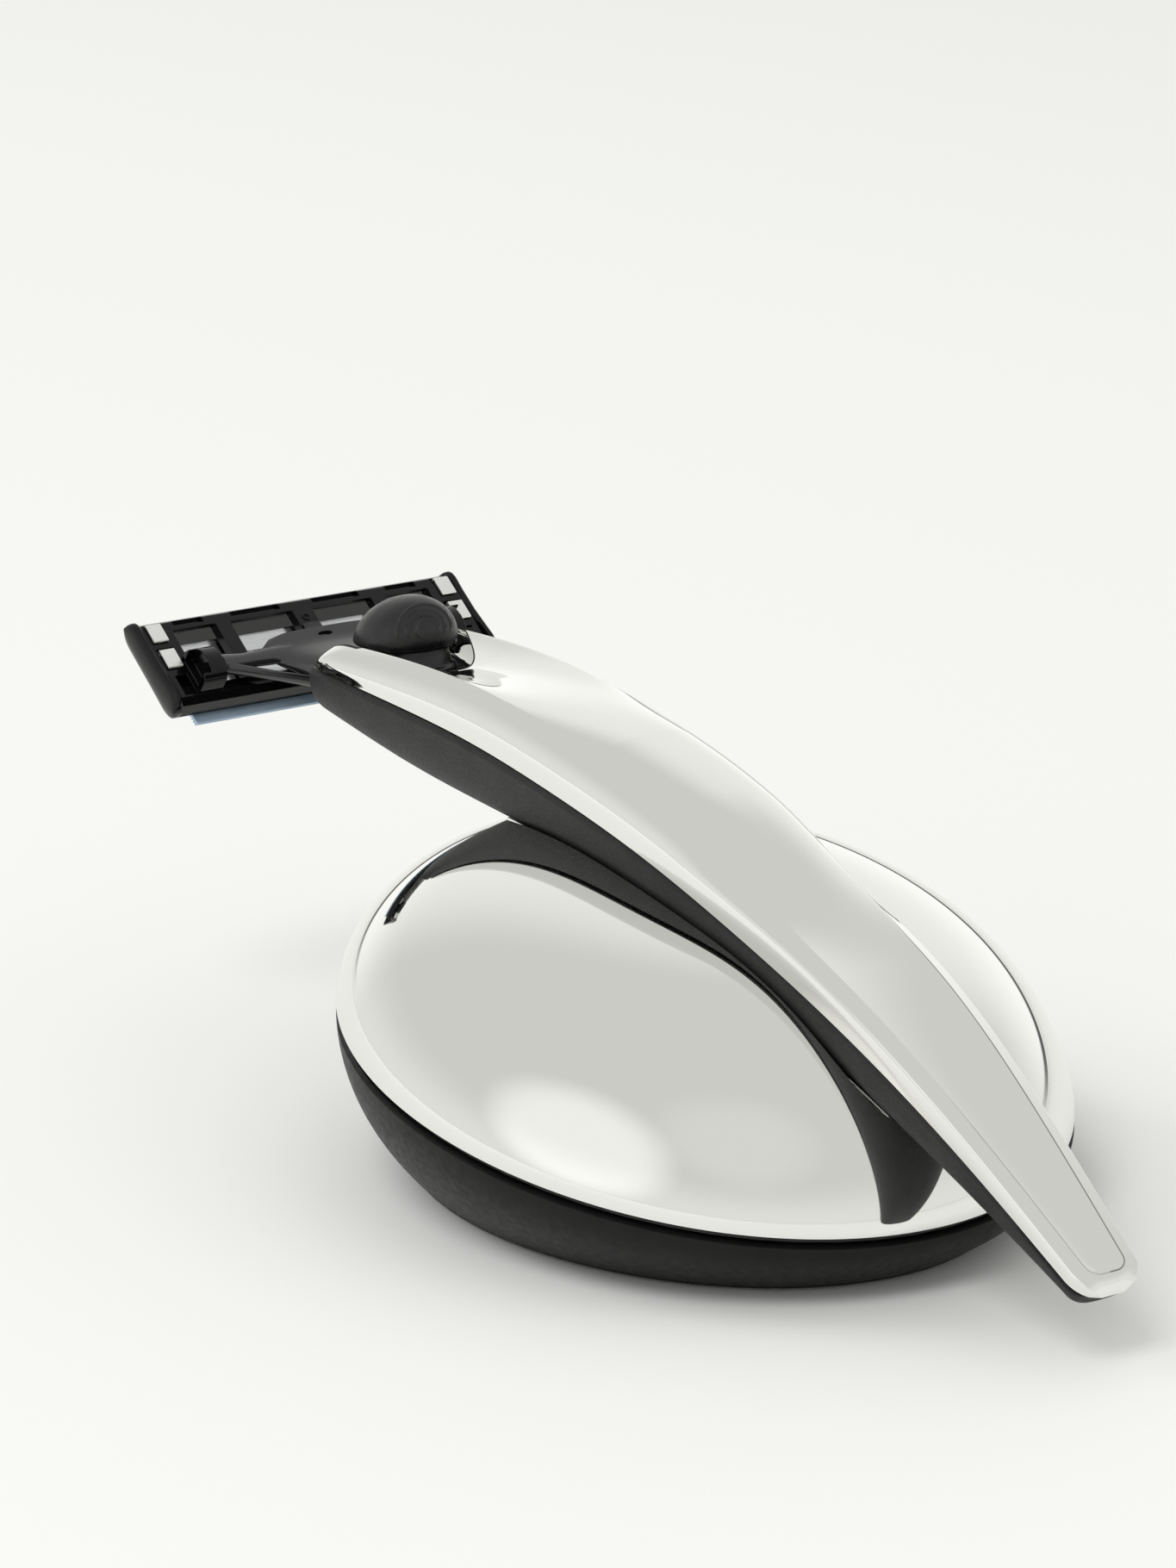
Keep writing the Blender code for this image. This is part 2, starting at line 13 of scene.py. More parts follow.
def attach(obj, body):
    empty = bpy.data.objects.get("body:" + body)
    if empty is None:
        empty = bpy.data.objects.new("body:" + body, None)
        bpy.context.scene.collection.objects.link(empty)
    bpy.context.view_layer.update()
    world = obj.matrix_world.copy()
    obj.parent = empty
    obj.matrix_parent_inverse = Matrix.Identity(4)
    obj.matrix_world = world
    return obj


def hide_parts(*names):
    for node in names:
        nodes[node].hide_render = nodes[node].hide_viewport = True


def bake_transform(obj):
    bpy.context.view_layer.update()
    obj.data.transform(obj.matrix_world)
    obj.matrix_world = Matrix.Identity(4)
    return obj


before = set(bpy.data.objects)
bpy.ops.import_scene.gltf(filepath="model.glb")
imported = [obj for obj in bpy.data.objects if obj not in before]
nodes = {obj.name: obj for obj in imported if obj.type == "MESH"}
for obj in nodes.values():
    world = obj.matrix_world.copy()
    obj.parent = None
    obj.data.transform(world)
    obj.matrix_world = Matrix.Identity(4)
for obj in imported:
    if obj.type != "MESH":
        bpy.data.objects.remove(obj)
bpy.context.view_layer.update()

MM = 0.001

# ---- the stand's shape -------------------------------------------------------------------------
RIM_X, RIM_Y, RIM_Z, RIM_SLOPE = 34.9, 38.75, 13.4, 0.177
DOME_H, DOME_N, DOME_M, DOME_SHIFT = 17.7, 3.1, 1.63, -3.6
CAP_WALL, CAVITY_H = 2.2, 9.0
BASE_IN_X, BASE_IN_Y, BASE_POW, BASE_Z, FLOOR_Z = 7.9, 5.0, 1.83, 0.4, 4.6
SEAM_CAP, SEAM_BASE, BASE_WALL = 0.4, -0.5, 2.4
CAP_DOME_END, CAP_LIP_END = 0.72, 0.78          # shares of the skin, from the crown to the inside
BASE_EDGE_END, BASE_FLANK_END, BASE_TOP_END, BASE_DROP_END = 0.06, 0.8, 0.86, 0.95
GROOVE_Y, GROOVE_OPEN, GROOVE_SIDES = (46.0, -56.0), 14.0, 0.7

# ---- the handle: y, height of the parting line, half width, shell rise, grip drop ------------------
HANDLE = (
    (57.6, 41.2, 8.5, 3.6, 6.2), (44.0, 40.5, 8.4, 5.7, 7.9), (30.0, 39.5, 8.2, 6.9, 8.3),
    (15.0, 37.5, 8.2, 7.1, 7.4), (0.0, 34.5, 8.0, 6.9, 6.8), (-15.0, 30.0, 7.4, 6.2, 6.6),
    (-30.0, 24.6, 6.8, 5.2, 6.0), (-44.0, 17.6, 5.5, 3.9, 4.6), (-60.4, 7.6, 3.75, 2.5, 1.7),
)
ARCH_POWER = 0.8                                # below 1 squares the rounded section
PARTING_GAP, GROOVE_GAP = 0.16, 0.45
SHELL_ARCH, GRIP_ARCH = 0.86, 0.8               # shares of a turn; the rest is the flat parting face
NOSE_Y, TAIL_Y, NOSE_ROUND = 57.6, -61.3, 4.5
BAND, DISH, TAIL_CORNER, FACET_CORNER = 1.35, 0.3, 2.3, 2.4
WALL_SHARE, WALL_LEAN, EDGE_SHARE = 0.5, 0.2, 0.94
SCOOP, SCOOP_SIDE, SCOOP_POW, SCOOP_Y = 3.5, 0.77, 2.6, (10.0, 42.0)      # the thumb's hollow
GRIP_END, GRIP_REACH, GRIP_SHRINK = 0.04, 1.4, 0.32
RECESS_HALF, RECESS_BACK_Y, RECESS_CURVE, RECESS_LINER = 6.5, 42.4, 0.2, 0.3
POCKET = ((-3.4, 3.4), (44.5, 70.0), (36.1, 40.2))
STEM_SLOT = ((-1.4, 1.4), (45.6, 51.4), (38.0, 46.0))

# ---- the head --------------------------------------------------------------------------------------
BUTTON_FOOT_Z, BUTTON_RIM, BUTTON_R, BUTTON_TOP, BUTTON_Y = 41.1, 3.1, 5.3, 8.0, 52.4
# share of the foot's skin, height above the foot, half width, y
BUTTON_FOOT = (
    (0.0, 0.0, 0.3, 51.0), (0.08, 0.0, 4.3, 51.0), (0.28, 0.15, 4.5, 51.0), (0.34, 0.75, 4.5, 51.0),
    (0.42, 1.0, 4.2, 51.3), (0.74, 2.3, 4.1, 51.9), (0.84, 2.7, 4.3, 52.2), (0.92, 2.75, 5.15, 52.4),
    (0.97, 2.9, 5.3, 52.4), (1.0, 3.1, 5.3, 52.4),
)
BUTTON_FOOT_END, THUMB_ARCS = 0.3, (16, 27, 38)
CART_ORIGIN, CART_TILT = (64.9, 37.6), radians(36.9)
CART_HALF, CART_V, CART_W, WEB = 19.8, 11.3, 3.0, 1.2
PIVOT_V, PIVOT_W, PIVOT_R = 3.1, 1.35, 0.75
RIB_X, RIB_HALF = (-10.0, 0.0, 9.8), (0.9, 1.25, 0.9)
RAIL_X, RAIL_R = 20.1, 0.65
# across the rail: v, half depth, w
RAIL = (
    (-0.45, 0.35, -1.2), (-0.3, 0.9, -1.2), (0.05, 1.35, -1.2), (0.6, 1.7, -1.15), (1.4, 1.87, -1.15),
    (2.6, 1.8, -1.2), (5.5, 1.62, -1.3), (8.5, 1.6, -1.3), (10.2, 1.65, -1.25), (10.9, 1.5, -1.25),
    (11.35, 1.2, -1.25), (11.65, 0.8, -1.25), (11.75, 0.35, -1.25),
)
BLADE_V, BLADE_HALF, STRIP_HALF = (2.8, 4.8, 6.8), 17.1, 17.2
NECK = (
    (51.4, 38.2, 2.8, 1.6), (59.6, 38.5, 2.9, 1.6), (61.3, 38.7, 3.6, 1.8), (63.3, 39.0, 4.8, 1.7),
    (65.0, 39.5, 6.4, 1.35), (66.0, 40.0, 7.5, 1.1), (66.6, 40.4, 8.2, 0.85), (67.35, 41.1, 8.4, 0.6),
    (67.95, 41.8, 7.2, 0.42), (68.2, 42.1, 5.6, 0.28),
)

CAMERA_TURN, CAMERA_RISE = radians(-35.60), radians(15.92)
CAMERA_BACK, CAMERA_RIGHT, CAMERA_UP, CAMERA_LENS = 513.0, -11.33, 38.95, 118.7

# ---- the pale tent that the chromium mirrors: a direction, then how level follows the closeness to it
# direction, closeness at the patch's edge and at its core, strength at each
TENT_OVERHEAD = ((0, 0, 1), 0.05, 0.45, 0.86, 0.71)
TENT_PATCHES = (
    ((0.62, 0.75, 0.15), 0.6, 0.93, 0.0, 0.24),
    ((-0.9, -0.13, 0.4), 0.86, 0.965, 0.0, 0.3),
    ((-0.35, -0.65, 0.67), 0.9, 0.99, 0.0, 0.07),
)
# the dark strip just above the far edge of the table
TENT_GAP = (
    ((0, 0, 1), 0.0, 0.012, 0.0, 1.0),
    ((0, 0, 1), 0.03, 0.05, 1.0, 0.0),
    ((0.7, 0.71, 0), 0.62, 0.9, 0.0, 0.9),
)


# ---- materials ---------------------------------------------------------------------------------------

def linear(colour):
    """A colour written as sRGB hex, as the linear values that a shader takes."""
    parts = [int(colour[i:i + 2], 16) / 255 for i in (1, 3, 5)]
    return tuple(c / 12.92 if c <= 0.04045 else ((c + 0.055) / 1.055) ** 2.4 for c in parts) + (1.0,)


def add(tree, kind, sockets=None, **settings):
    """One node with its settings; a socket takes a value or another node's output."""
    made = tree.nodes.new(kind)
    for name, value in settings.items():
        setattr(made, name, value)
    for name, value in (sockets or {}).items():
        if isinstance(value, bpy.types.NodeSocket):
            tree.links.new(value, made.inputs[name])
        else:
            made.inputs[name].default_value = value
    return made


def finish(name, colour, rough, metal=0.0, **more):
    """A material and its Principled shader, with the even values set on the shader itself."""
    made = bpy.data.materials.new(name)
    made.use_nodes = True
    shader = made.node_tree.nodes["Principled BSDF"]
    values = {"Base Color": linear(colour), "Roughness": rough, "Metallic": metal, **more}
    for socket, value in values.items():
        shader.inputs[socket].default_value = value
    return made, made.node_tree, shader


def place_of(tree, scale=(1, 1, 1)):
    """Object coordinates in millimetres, stretched by scale."""
    where = add(tree, "ShaderNodeTexCoord").outputs["Object"]
    scale = tuple(s / MM for s in scale)
    return add(tree, "ShaderNodeMapping", {"Vector": where, "Scale": scale}).outputs[0]


def grain(tree, size, detail=2.0, scale=(1, 1, 1)):
    """Noise whose features are about size millimetres across."""
    return add(tree, "ShaderNodeTexNoise", {"Vector": place_of(tree, scale), "Scale": 1 / size,
                                            "Detail": detail}).outputs["Fac"]


def uneven_gloss(tree, shader, value, low, high):
    """Roughness that wanders between two values."""
    rough = add(tree, "ShaderNodeMapRange", {"Value": value, "From Min": 0.3, "From Max": 0.7,
                                             "To Min": low, "To Max": high})
    tree.links.new(rough.outputs["Result"], shader.inputs["Roughness"])


def mottle(tree, shader, value, dark, light):
    """Base colour that wanders between two close tones."""
    mixed = add(tree, "ShaderNodeValToRGB", {"Fac": value})
    for stop, position, tone in zip(mixed.color_ramp.elements, (0.35, 0.65), (dark, light)):
        stop.position, stop.color = position, linear(tone)
    tree.links.new(mixed.outputs[0], shader.inputs["Base Color"])


def relief(tree, shader, height, depth):
    """Bump whose peaks stand depth millimetres high."""
    bump = add(tree, "ShaderNodeBump", {"Height": height, "Distance": depth * MM, "Strength": 1.0})
    tree.links.new(bump.outputs[0], shader.inputs["Normal"])


def plated_chromium(name):
    # Bright chromium over polished zinc: a mirror, with faint polishing haze in broad patches.
    made, tree, shader = finish(name, "#ECECE9", 0.03, 1.0)
    uneven_gloss(tree, shader, grain(tree, 9.0, 3.0), 0.022, 0.05)
    return made


def plated_shell():
    # The same bright chromium, with a painted shade line: a darker grey base colour along the inner edge of
    # the bevelled band round the tail's facet.
    made = plated_chromium("chromium_plated_shell")
    tree = made.node_tree
    distance = add(tree, "ShaderNodeAttribute", attribute_name="facet").outputs["Fac"]
    fade = add(tree, "ShaderNodeAttribute", attribute_name="facet_fade").outputs["Fac"]
    off = add(tree, "ShaderNodeMath", {0: distance}, operation="ABSOLUTE").outputs[0]
    off = add(tree, "ShaderNodeMath", {0: off, 1: fade}, operation="ADD").outputs[0]
    line = add(tree, "ShaderNodeMapRange", {"Value": off, "From Min": 0.02, "From Max": 0.09})
    tone = add(tree, "ShaderNodeValToRGB", {"Fac": line.outputs["Result"]})
    # Painted shade: the first, dark grey stop colours the fine shade line along the facet's edge.
    for stop, colour in zip(tone.color_ramp.elements, ("#6E6E6C", "#ECECE9")):
        stop.color = linear(colour)
    tree.links.new(tone.outputs[0], tree.nodes["Principled BSDF"].inputs["Base Color"])
    return made


def moulded_tpe():
    # Thermoplastic elastomer from a spark-eroded mould: matt, with a very fine even tooth.
    made, tree, shader = finish("moulded_tpe_grip", "#232323", 0.58, **{"Specular IOR Level": 0.4})
    mottle(tree, shader, grain(tree, 3.0), "#212121", "#262626")
    tooth = grain(tree, 0.22, 1.0)    # drawn about twice as coarse as the real 0.1 mm so that it shows
    uneven_gloss(tree, shader, tooth, 0.50, 0.66)
    relief(tree, shader, tooth, 0.02)
    return made


def soft_touch_abs():
    # ABS under soft-touch lacquer: near black, velvety, with a slight orange peel.
    made, tree, shader = finish("soft_touch_lacquer_on_abs", "#0D0D0D", 0.5,
                                **{"Specular IOR Level": 0.22})
    mottle(tree, shader, grain(tree, 6.0), "#0B0B0B", "#101010")
    uneven_gloss(tree, shader, grain(tree, 0.8), 0.42, 0.54)
    relief(tree, shader, grain(tree, 0.5, 1.0), 0.008)
    return made


def polished_abs(name, colour, rough, flow=0.02, shine=0.5):
    # ABS from a polished mould: glossy, with long soft flow waves under the shine.
    made, tree, shader = finish(name, colour, rough, **{"Specular IOR Level": shine})
    uneven_gloss(tree, shader, grain(tree, 2.5, 2.0, (0.3, 1, 1)), rough - 0.04, rough + 0.06)
    relief(tree, shader, grain(tree, 3.0, 1.0, (0.4, 1, 1)), flow)
    return made


def satin_abs():
    # ABS from a lightly blasted mould: satin black, its gloss uneven in small patches.
    made, tree, shader = finish("satin_abs_button", "#101011", 0.34)
    mottle(tree, shader, grain(tree, 1.6), "#0E0E0F", "#131314")
    uneven_gloss(tree, shader, grain(tree, 0.9), 0.27, 0.42)
    relief(tree, shader, grain(tree, 0.3, 1.0), 0.01)
    return made


def ground_steel(name, colour, rough, along=0.04):
    # Strip metal ground along its length: fine straight scratches that stretch the highlights.
    made, tree, shader = finish(name, colour, rough, 1.0)
    lines = grain(tree, 0.25, 2.0, (along, 1, 1))
    uneven_gloss(tree, shader, lines, rough - 0.08, rough + 0.14)
    relief(tree, shader, lines, 0.006)
    return made


def moulded_rubber(name, colour, dark, light, size):
    # Cured rubber: matt and slightly uneven in tone, with a fine moulded skin.
    made, tree, shader = finish(name, colour, 0.7)
    mottle(tree, shader, grain(tree, size * 6), dark, light)
    relief(tree, shader, grain(tree, size, 1.0), 0.02)
    return made


def cast_zinc():
    # Die-cast zinc: dull grey metal with a faint cloudy skin.
    made, tree, shader = finish("die_cast_zinc", "#8C8D8F", 0.45, 1.0)
    mottle(tree, shader, grain(tree, 2.0, 4.0), "#85868A", "#97989A")
    uneven_gloss(tree, shader, grain(tree, 0.7), 0.38, 0.56)
    return made


# ---- making pieces -----------------------------------------------------------------------------------

def piece(name, bm, coat, body=None, stands_for=(), angle=38):
    """Turn a bmesh into a finished object that rides on its body."""
    mesh = bpy.data.meshes.new(name)
    bm.to_mesh(mesh)
    bm.free()
    made = bpy.data.objects.new(name, mesh)
    bpy.context.scene.collection.objects.link(made)
    mesh.materials.append(coat)
    mesh.shade_smooth()
    mesh.set_sharp_from_angle(angle=radians(angle))
    if body:
        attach(made, body)
    if stands_for:
        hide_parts(*stands_for)
    return made


def closed(bm):
    bmesh.ops.remove_doubles(bm, verts=bm.verts, dist=1e-6)
    bmesh.ops.holes_fill(bm, edges=[e for e in bm.edges if e.is_boundary], sides=0)
    bmesh.ops.recalc_face_normals(bm, faces=bm.faces)
    return bm


def skin(place, around, along, **layers):
    """Bend a flat grid into a closed tube: place(turn, run) gives each of its points."""
    bm = bmesh.new()
    bmesh.ops.create_grid(bm, x_segments=around, y_segments=along, size=0.5)
    for name, value in layers.items():
        layer = bm.verts.layers.float.new(name)
        for vert in bm.verts:
            vert[layer] = value(vert.co.x + 0.5, vert.co.y + 0.5)
    for vert in bm.verts:
        vert.co = Vector(place(vert.co.x + 0.5, vert.co.y + 0.5)) * MM
    return closed(bm)


def tube(rings, around=32):
    """A closed tube through a few rings, each given as place(cosine, sine)."""
    last = len(rings) - 1
    return skin(lambda turn, run: rings[round(run * last)](cos(2 * pi * turn), sin(2 * pi * turn)),
                around, last)


def block(x, y, z, place=lambda a, b, c: (a, b, c)):
    """A box between three pairs of limits, laid out by place."""
    bm = bmesh.new()
    bmesh.ops.create_cube(bm, size=1.0)
    for vert in bm.verts:
        a, b, c = (limits[0] if side < 0 else limits[1] for side, limits in zip(vert.co, (x, y, z)))
        vert.co = Vector(place(a, b, c)) * MM
    bmesh.ops.recalc_face_normals(bm, faces=bm.faces)
    return bm


def bar(outline, ends, place):
    """A flat outline pushed from one end to the other along the third axis of place."""
    bm = bmesh.new()
    face = bm.faces.new([bm.verts.new(Vector(place(a, b, ends[0])) * MM) for a, b in outline])
    pushed = bmesh.ops.extrude_face_region(bm, geom=[face])["geom"]
    step = (Vector(place(0, 0, ends[1])) - Vector(place(0, 0, ends[0]))) * MM
    bmesh.ops.translate(bm, verts=[g for g in pushed if isinstance(g, bmesh.types.BMVert)], vec=step)
    return closed(bm)


def carve(bm, tools, operation="DIFFERENCE"):
    """Exact Boolean of a bmesh with others, one after another."""
    body = bpy.data.objects.new("body", bpy.data.meshes.new("body"))
    tool = bpy.data.objects.new("tool", bpy.data.meshes.new("tool"))
    for made in (body, tool):
        bpy.context.scene.collection.objects.link(made)
    step = body.modifiers.new("step", "BOOLEAN")
    step.operation, step.solver, step.object = operation, "EXACT", tool
    for other in tools:
        bm.to_mesh(body.data)
        other.to_mesh(tool.data)
        other.free()
        graph = bpy.context.evaluated_depsgraph_get()
        result = bpy.data.meshes.new_from_object(body.evaluated_get(graph))
        bm.clear()
        bm.from_mesh(result)
        bpy.data.meshes.remove(result)
    for made in (body, tool):
        mesh = made.data
        bpy.data.objects.remove(made)
        bpy.data.meshes.remove(mesh)
    bmesh.ops.remove_doubles(bm, verts=bm.verts, dist=1e-6)
    bmesh.ops.dissolve_degenerate(bm, edges=bm.edges, dist=1e-6)
    return bm


def soften(made, width, segments=2, angle=40):
    """Round a piece's edges."""
    round_off = made.modifiers.new("round_off", "BEVEL")
    round_off.width, round_off.segments = width * MM, segments
    round_off.limit_method, round_off.angle_limit = "ANGLE", radians(angle)
    round_off.harden_normals = True
    return made


# ---- stand --------------------------------------------------------------------------------------------

def rim_height(y):
    return RIM_Z + RIM_SLOPE * y


def dome_point(turn, tilt, inset, height):
    """A point of the dome; tilt runs from 0 at the crown to a quarter turn at the rim."""
    share = sin(tilt) ** (2 / DOME_N)
    y = (RIM_Y - inset) * share * sin(2 * pi * turn) + DOME_SHIFT * (1 - share ** 2)
    lift = max(0.0, 1 - share ** DOME_N) ** (1 / DOME_M)
    return ((RIM_X - inset) * share * cos(2 * pi * turn), y, rim_height(y) + SEAM_CAP + height * lift)


def cap_point(turn, run):
    """Outside of the cap down to the rim, round its lip, and up the inside."""
    if run < CAP_DOME_END:
        return dome_point(turn, 0.5 * pi * max(run / CAP_DOME_END, 0.004), 0.0, DOME_H)
    if run < CAP_LIP_END:
        bend = (run - CAP_DOME_END) / (CAP_LIP_END - CAP_DOME_END) * pi / 2
        x, y, z = dome_point(turn, pi / 2, 0.35 * (1 - cos(bend)), 0.0)
        return (x, y, z - 0.25 * sin(bend) + 0.1)
    back = (run - CAP_LIP_END) / (1 - CAP_LIP_END)
    return dome_point(turn, 0.5 * pi * max(1 - back, 0.02), CAP_WALL, CAVITY_H)


def groove_point(turn, run):
    """The trough that the grip lies in, open at the top."""
    y = GROOVE_Y[0] + (GROOVE_Y[1] - GROOVE_Y[0]) * run
    half, drop = half_width(y) + GROOVE_GAP, grip_drop(y) + GROOVE_GAP
    if turn <= GROOVE_SIDES:
        angle = pi * turn / GROOVE_SIDES
        x, n = half * squared(cos(angle)), -drop * abs(sin(angle)) ** ARCH_POWER
    else:
        side = 1 - 2 * (turn - GROOVE_SIDES) / (1 - GROOVE_SIDES)
        x, n = (-half * side, GROOVE_OPEN) if turn < 1 else (half, 0.0)
    return on_handle(y, x, n)


def base_point(turn, run):
    """Flank of the base from the ground edge to the seam, then down the inside to the floor."""
    angle = 2 * pi * turn

    def flank(drop, inset):
        top = rim_height((RIM_Y - inset) * sin(angle)) + SEAM_BASE
        pull = drop ** BASE_POW
        return ((RIM_X - inset - BASE_IN_X * pull) * cos(angle),
                (RIM_Y - inset - BASE_IN_Y * pull) * sin(angle), top + (BASE_Z - top) * drop)

    if run < BASE_EDGE_END:
        curl = run / BASE_EDGE_END * pi / 2
        x, y, z = flank(1.0, 0.6 * (1 - sin(curl)))
        return (x, y, z + 0.35 * (1 - cos(curl)))
    if run < BASE_FLANK_END:
        drop = 1 - (run - BASE_EDGE_END) / (BASE_FLANK_END - BASE_EDGE_END)
        x, y, z = flank(drop, 0.0)
        return (x, y, z + 0.35 * drop)
    if run < BASE_TOP_END:
        share = (run - BASE_FLANK_END) / (BASE_TOP_END - BASE_FLANK_END)
        return flank(0.0, 0.4 + share * (BASE_WALL - 0.4))
    if run < BASE_DROP_END:
        return flank(0.2 * (run - BASE_TOP_END) / (BASE_DROP_END - BASE_TOP_END), BASE_WALL)
    return (24.2 * cos(angle), 30.8 * sin(angle), FLOOR_Z)


def add_stand():
    chrome = plated_chromium("chromium_plated_cap")
    cap = carve(skin(cap_point, 176, 100), [skin(groove_point, 60, 90)])
    piece("pebble_cap", cap, chrome, "stand", ["stand_cap"], 30)
    piece("pebble_base", skin(base_point, 176, 60), soft_touch_abs(), "stand", ["stand_base"])


# ---- handle -------------------------------------------------------------------------------------------

def through_stations(column):
    """Smooth curve through the handle's stations, tabled finely along y."""
    table = np.array(HANDLE)[::-1]
    x, f = table[:, 0], table[:, column]
    n, h = len(x), np.diff(x)
    system, right = np.eye(n), np.zeros(n)
    for i in range(1, n - 1):
        system[i, i - 1:i + 2] = h[i - 1], 2 * (h[i - 1] + h[i]), h[i]
        right[i] = 3 * ((f[i + 1] - f[i]) / h[i] - (f[i] - f[i - 1]) / h[i - 1])
    c = np.linalg.solve(system, right)
    fine = np.linspace(-66, 64, 1301)
    i = np.clip(np.searchsorted(x, fine) - 1, 0, n - 2)
    t = fine - x[i]
    b = (f[i + 1] - f[i]) / h[i] - h[i] * (2 * c[i] + c[i + 1]) / 3
    values = f[i] + b * t + c[i] * t ** 2 + (c[i + 1] - c[i]) / (3 * h[i]) * t ** 3
    return lambda y: float(np.interp(y, fine, values))


parting, half_width, shell_rise, grip_drop = (through_stations(k) for k in (1, 2, 3, 4))


def squared(value, power=ARCH_POWER):
    return abs(value) ** power * (1 if value >= 0 else -1)


def on_handle(y, x, n, along=0.0):
    """A point n above the parting line, square to the handle's curve."""
    slope = parting(y + 0.5) - parting(y - 0.5)
    size = hypot(1, slope)
    return (x, y + (along - n * slope) / size, parting(y) + (along * slope + n) / size)


def ease(value):
    value = min(1.0, max(0.0, value))
    return value * value * (3 - 2 * value)


def tail_half(y):
    """Half width of the shell, drawn in round the tail's corners."""
    a, end = half_width(y), y - TAIL_Y
    if end < TAIL_CORNER:
        a = a - TAIL_CORNER + max(0.0, TAIL_CORNER ** 2 - (TAIL_CORNER - end) ** 2) ** 0.5
    return a


def shell_point(turn, run):
    """The polished shell: a rounded crown that turns into a dished face between two bevelled bands."""
    y = NOSE_Y + (TAIL_Y - NOSE_Y) * run
    a, rise, end = tail_half(y), shell_rise(y), y - TAIL_Y
    if y > NOSE_Y - NOSE_ROUND:
        fall = max(0.0, 1 - ((y - NOSE_Y) / NOSE_ROUND + 1) ** 2) ** 0.5
        a, rise = a - 0.8 * (1 - fall) ** 2, rise * max(0.35, fall ** 0.7)
    if turn > SHELL_ARCH:
        return on_handle(y, a * (2 * (turn - SHELL_ARCH) / (1 - SHELL_ARCH) - 1), PARTING_GAP)
    angle = pi * turn / SHELL_ARCH
    x, n = a * squared(cos(angle)), rise * abs(sin(angle)) ** ARCH_POWER
    if n > 1:
        share = min(1.0, max(0.0, (y - SCOOP_Y[0]) / (SCOOP_Y[1] - SCOOP_Y[0])))
        hollow = 0.5 * (share + ease(share))
        n -= SCOOP * hollow * max(0.0, 1 - abs(x / (SCOOP_SIDE * half_width(y))) ** SCOOP_POW)
    bevelled = ease((-2 - y) / 24)
    if bevelled:
        x += (faceted_x(angle, a) - x) * bevelled
        n += (faceted_rise(x, a, rise, end, angle) - n) * bevelled
    return on_handle(y, x, PARTING_GAP + n)


def faceted_x(angle, a):
    """Side to side spacing that gives the leaning side wall a fifth of the turn."""
    lean = min(angle, pi - angle) / (pi / 2)
    if lean < WALL_LEAN:
        inward = (1 - EDGE_SHARE) * (lean / WALL_LEAN) ** 2
    else:
        inward = 1 - EDGE_SHARE + EDGE_SHARE * ((lean - WALL_LEAN) / (1 - WALL_LEAN)) ** 1.1
    return (1 if angle < pi / 2 else -1) * a * (1 - inward)


def facet_depth(x, a, end):
    """How far a point of the tail's top lies inside the edge of the bevelled band, corners rounded."""
    side, back = EDGE_SHARE * a - abs(x), 1.05 * end
    near_x, near_y = max(0.0, FACET_CORNER - side), max(0.0, FACET_CORNER - back)
    return max(0.0, FACET_CORNER - hypot(near_x, near_y) if near_x and near_y else min(side, back))


def faceted_rise(x, a, rise, end, angle):
    """Side wall, sloping band and the shallow dish inside it."""
    lean = min(angle, pi - angle) / (pi / 2)
    wall = WALL_SHARE * rise * min(1.0, max(0.0, end) / 1.2) ** 0.5
    if lean < WALL_LEAN:
        return wall * sin(lean / WALL_LEAN * pi / 2)
    inside = facet_depth(x, a, end)
    towards = min(1.0, max(0.0, inside - BAND) / max(0.5, EDGE_SHARE * a - BAND))
    return wall + 0.1 * rise * min(1.0, inside / BAND) - DISH * towards * (2 - towards)


def shade_line_distance(turn, run):
    """Distance from the painted shade line round the tail's facet; far away from it elsewhere."""
    y = NOSE_Y + (TAIL_Y - NOSE_Y) * run
    angle = pi * turn / SHELL_ARCH
    if turn > SHELL_ARCH or min(angle, pi - angle) < WALL_LEAN * pi / 2:
        return 9.0
    a = tail_half(y)
    return facet_depth(faceted_x(angle, a), a, y - TAIL_Y) - BAND + 0.1 * max(0.0, (y + 26) / 18)


def facet_fade(turn, run):
    """The painted shade line runs out up the handle, and is softer and shorter on the left side."""
    y = NOSE_Y + (TAIL_Y - NOSE_Y) * run
    if turn < SHELL_ARCH / 2:
        return 0.1 * ease((y + 22) / 14)
    return 0.035 + 0.065 * ease((y + 46) / 10)


def grip_point(turn, run):
    """The soft underside, hung from the parting line, closed by rounded ends."""
    tail_y = TAIL_Y + 1.9
    y = NOSE_Y + (tail_y - NOSE_Y) * min(1, max(0, (run - GRIP_END) / (1 - 2 * GRIP_END)))
    shrink, along = 1.0, 0.0
    if run < GRIP_END or run > 1 - GRIP_END:
        curl = (GRIP_END - min(run, 1 - run)) / GRIP_END * pi / 2
        shrink = 1 - GRIP_SHRINK + GRIP_SHRINK * cos(curl)
        along = GRIP_REACH * sin(curl) * (1 if run < GRIP_END else -1)
    a, drop = half_width(y) * shrink, grip_drop(y) * shrink
    if turn > GRIP_ARCH:
        return on_handle(y, a * (2 * (turn - GRIP_ARCH) / (1 - GRIP_ARCH) - 1), -PARTING_GAP, along)
    angle = pi * turn / GRIP_ARCH
    n = -PARTING_GAP - drop * abs(sin(angle)) ** ARCH_POWER
    return on_handle(y, a * squared(cos(angle)), n, along)


